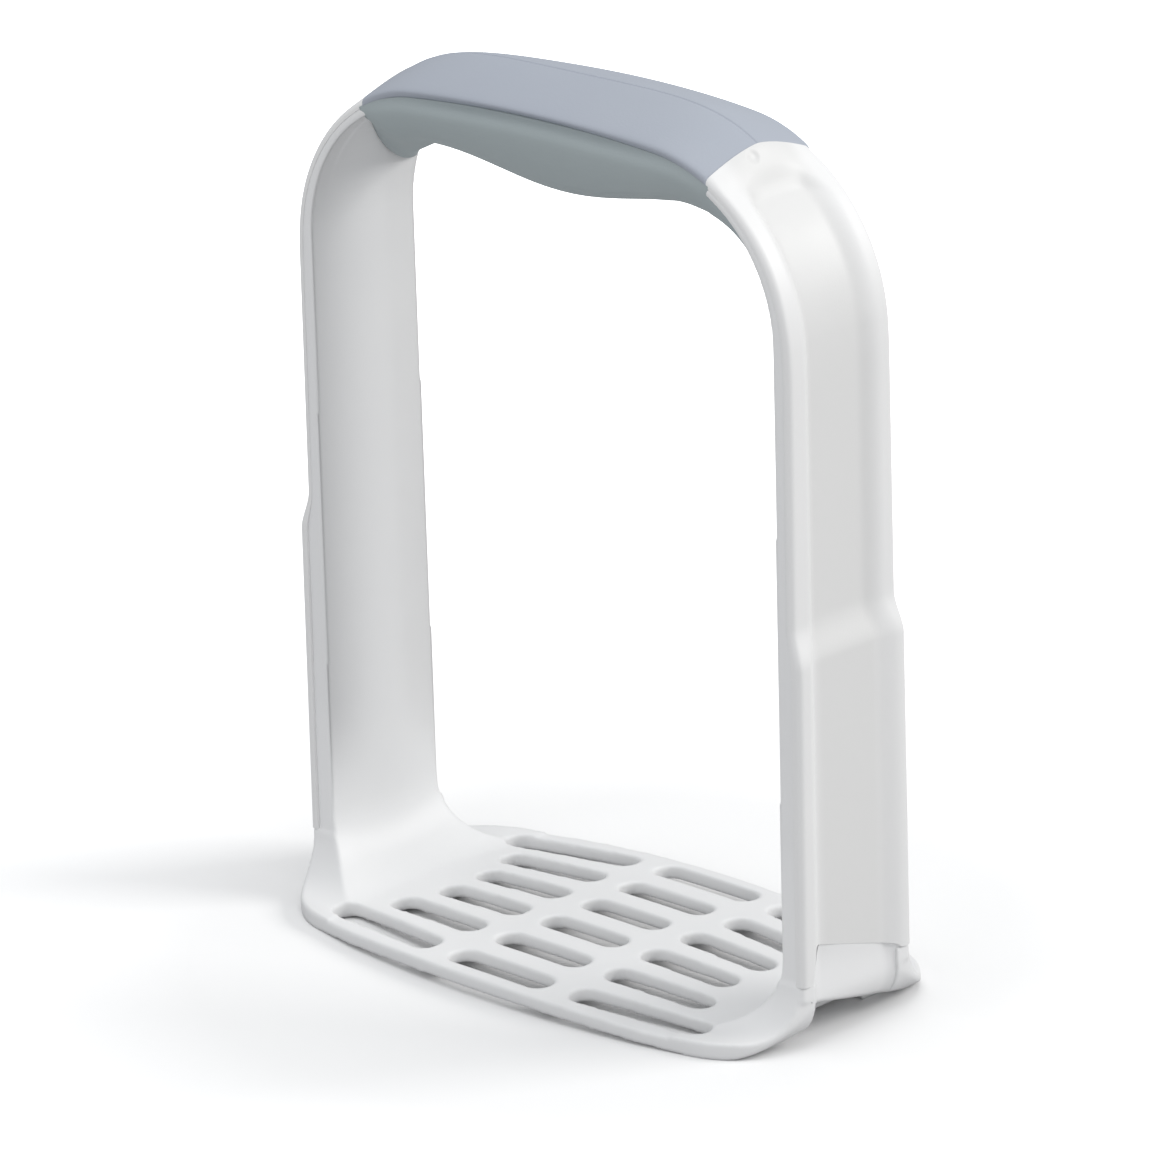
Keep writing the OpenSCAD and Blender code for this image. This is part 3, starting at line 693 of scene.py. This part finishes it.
# Foot panels: the recess runs on down each foot and flares out at its lower edge
FOOT_RADIUS = 9.8
FOOT_CENTRE_X = 54.9
FOOT_CENTRE_Z = 9.7
PANEL_HALF = 12.7
PANEL_TOP = 22.5
PANEL_BOTTOM = 6.2
PANEL_FALL = 3.1
PANEL_EDGE = 4.0
PANEL_INSET_LOW = 0.6
PANEL_INSET_RISE = 0.73
PANEL_RISE_LENGTH = 9.0
PANEL_BACK_INSET = 2.6
PANEL_BACK_HEIGHT = 10.0
PANEL_STEPS = 30
PANEL_COLUMNS = 40


def foot_face(z, inset):
    """How far out the foot's face stands at a height, less an inset."""
    below = max(0.0, FOOT_CENTRE_Z - z)
    return FOOT_CENTRE_X + math.sqrt(max(0.0, FOOT_RADIUS**2 - below**2)) - inset


def panel_ring(y, side):
    """A ring down the panel's outer face and back up its inner side."""
    bottom = PANEL_BOTTOM - PANEL_FALL * side * (y / PANEL_HALF)
    edge = smooth_step((PANEL_HALF - abs(y)) / PANEL_EDGE)
    outer = []
    for z in spaced(PANEL_TOP, bottom, PANEL_STEPS):
        rise = PANEL_INSET_RISE * smooth_step((z - bottom) / PANEL_RISE_LENGTH)
        inset = APART + (PANEL_INSET_LOW + rise) * edge
        outer.append((side * foot_face(z, inset), y, z))
    back_heights = (bottom, PANEL_BACK_HEIGHT, PANEL_TOP)
    return outer + [(side * foot_face(z, PANEL_BACK_INSET), y, z) for z in back_heights]


for side, name in ((1, "right_foot_panel"), (-1, "left_foot_panel")):
    columns = range(PANEL_COLUMNS + 1)
    rings = [panel_ring(PANEL_HALF * (2 * i / PANEL_COLUMNS - 1), side) for i in columns]
    points, faces = loft(rings)
    panel = mesh_object(name, points, faces, frame_white)
    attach(panel, "root")


# The solids' own materials
def paint_solid(name, material):
    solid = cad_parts[name]
    solid.data.materials.clear()
    solid.data.materials.append(material)
    return solid


solid_frame = paint_solid("masher_frame", frame_white)
paint_solid("handle_cover", cover_white)
paint_solid("grip_upper_pad", upper_grey)
paint_solid("grip_lower_pad", lower_grey)

# The frame keeps its solid, with an even fine mesh and soft edges
FRAME_VOXEL = 0.32 * MM
FRAME_PASSES = 6
FRAME_PASS_SHARE = 0.5
even = solid_frame.modifiers.new("even", "REMESH")
even.mode = "VOXEL"
even.voxel_size = FRAME_VOXEL
even.use_smooth_shade = True
soften = solid_frame.modifiers.new("soften", "SMOOTH")
soften.factor = FRAME_PASS_SHARE
soften.iterations = FRAME_PASSES

# Floor: white paper that brightens away from the masher
FLOOR_HALF = 4.0
PAPER_NEAR = (1.0, 1.0, 1.0)
PAPER_FAR = (2.3, 2.3, 2.3)
PAPER_NEAR_REACH = 0.08
PAPER_FAR_REACH = 0.5
# The tone that lights the masher, in place of the white that the camera sees
PAPER_UNSEEN = (0.48, 0.48, 0.485)
FIBRE_SCALE = 900.0
FIBRE_HEIGHT = 0.03 * MM
FIBRE_STRENGTH = 0.3

corners = ((-1, -1), (1, -1), (1, 1), (-1, 1))
floor_mesh = bpy.data.meshes.new("floor")
floor_mesh.from_pydata([(FLOOR_HALF * x, FLOOR_HALF * y, 0) for x, y in corners], [], [(0, 1, 2, 3)])
floor = bpy.data.objects.new("floor", floor_mesh)
bpy.context.collection.objects.link(floor)
floor_material, nodes, links = new_material("floor")
nodes.remove(nodes["Principled BSDF"])
matte = nodes.new("ShaderNodeBsdfDiffuse")
place = nodes.new("ShaderNodeTexCoord").outputs["Object"]
seen = nodes.new("ShaderNodeLightPath").outputs["Is Camera Ray"]
distance = nodes.new("ShaderNodeVectorMath")
distance.operation = "LENGTH"
links.new(place, distance.inputs[0])
outward = ramp(nodes, links, distance.outputs["Value"], PAPER_NEAR_REACH, PAPER_FAR_REACH)
near_to_far = between(nodes, links, outward, PAPER_NEAR, PAPER_FAR)
paper = between(nodes, links, seen, PAPER_UNSEEN, PAPER_NEAR)
links.new(near_to_far, paper.node.inputs["B"])
links.new(paper, matte.inputs["Color"])
fibre = noise(nodes, links, place, FIBRE_SCALE, detail=3.0)
links.new(relief(nodes, links, fibre, FIBRE_HEIGHT, FIBRE_STRENGTH), matte.inputs["Normal"])
links.new(matte.outputs["BSDF"], nodes["Material Output"].inputs["Surface"])
floor.data.materials.append(floor_material)

# Light
SKY_TINT = (0.97, 0.985, 1.0, 1)
SKY_STRENGTH = 0.47
COOL = (0.985, 0.99, 1.0)

world = bpy.data.worlds.new("world")
scene.world = world
world.use_nodes = True
background = world.node_tree.nodes["Background"]
background.inputs["Color"].default_value = SKY_TINT
background.inputs["Strength"].default_value = SKY_STRENGTH


def area_light(name, place, target, size, power, colour):
    data = bpy.data.lights.new(name, "AREA")
    data.shape = "RECTANGLE"
    data.size = size[0]
    data.size_y = size[1]
    data.energy = power
    data.color = colour
    light = bpy.data.objects.new(name, data)
    bpy.context.collection.objects.link(light)
    light.location = place
    light.rotation_euler = (Vector(target) - Vector(place)).to_track_quat("-Z", "Y").to_euler()


area_light("key", (1.15, 1.1, 1.0), (0, 0, 0.06), size=(0.8, 0.8), power=14.5, colour=(1.0, 0.99, 0.975))
area_light("above", (-0.1, -0.1, 1.7), (0, 0, 0), size=(1.6, 1.6), power=10.6, colour=COOL)
area_light("front", (0.1, -1.6, 0.7), (0, 0, 0.08), size=(1.2, 0.8), power=5, colour=COOL)
area_light("side", (1.6, 0.0, 0.2), (0, 0, 0.09), size=(0.35, 0.35), power=2.2, colour=(1.0, 0.995, 0.985))
